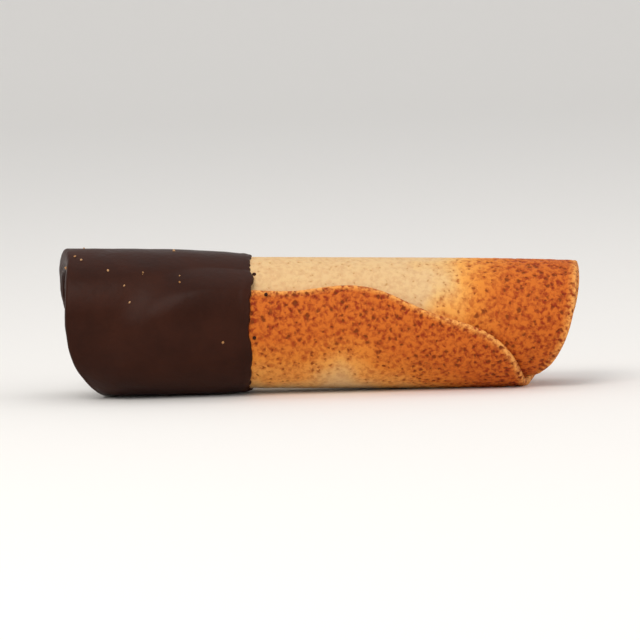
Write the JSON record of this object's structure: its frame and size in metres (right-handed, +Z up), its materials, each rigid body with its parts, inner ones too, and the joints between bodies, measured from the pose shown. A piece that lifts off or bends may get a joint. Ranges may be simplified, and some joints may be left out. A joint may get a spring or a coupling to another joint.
{
  "type": "rolled wafer cookie",
  "caption": "Thin baked wafer rolled into an open tube, with a browned rim, a loose outer edge and an end dipped in dark chocolate.",
  "frame": {"origin": "on the table, under the middle of the box round the whole cookie", "axes": "+X along the tube from the dipped end to the open end, -Y the side where the sheet's loose outer edge shows, +Z up"},
  "size_m": [0.0878, 0.0254, 0.0248],
  "materials": {
    "baked_wafer": "baked matt and porous, pale in the middle of the sheet and brown at its rim",
    "dark_chocolate": "set couverture with a soft satin gloss"
  },
  "bodies": {
    "root": {"wafer_roll": "baked_wafer", "chocolate_dip": "dark_chocolate"}
  },
  "joints": []
}
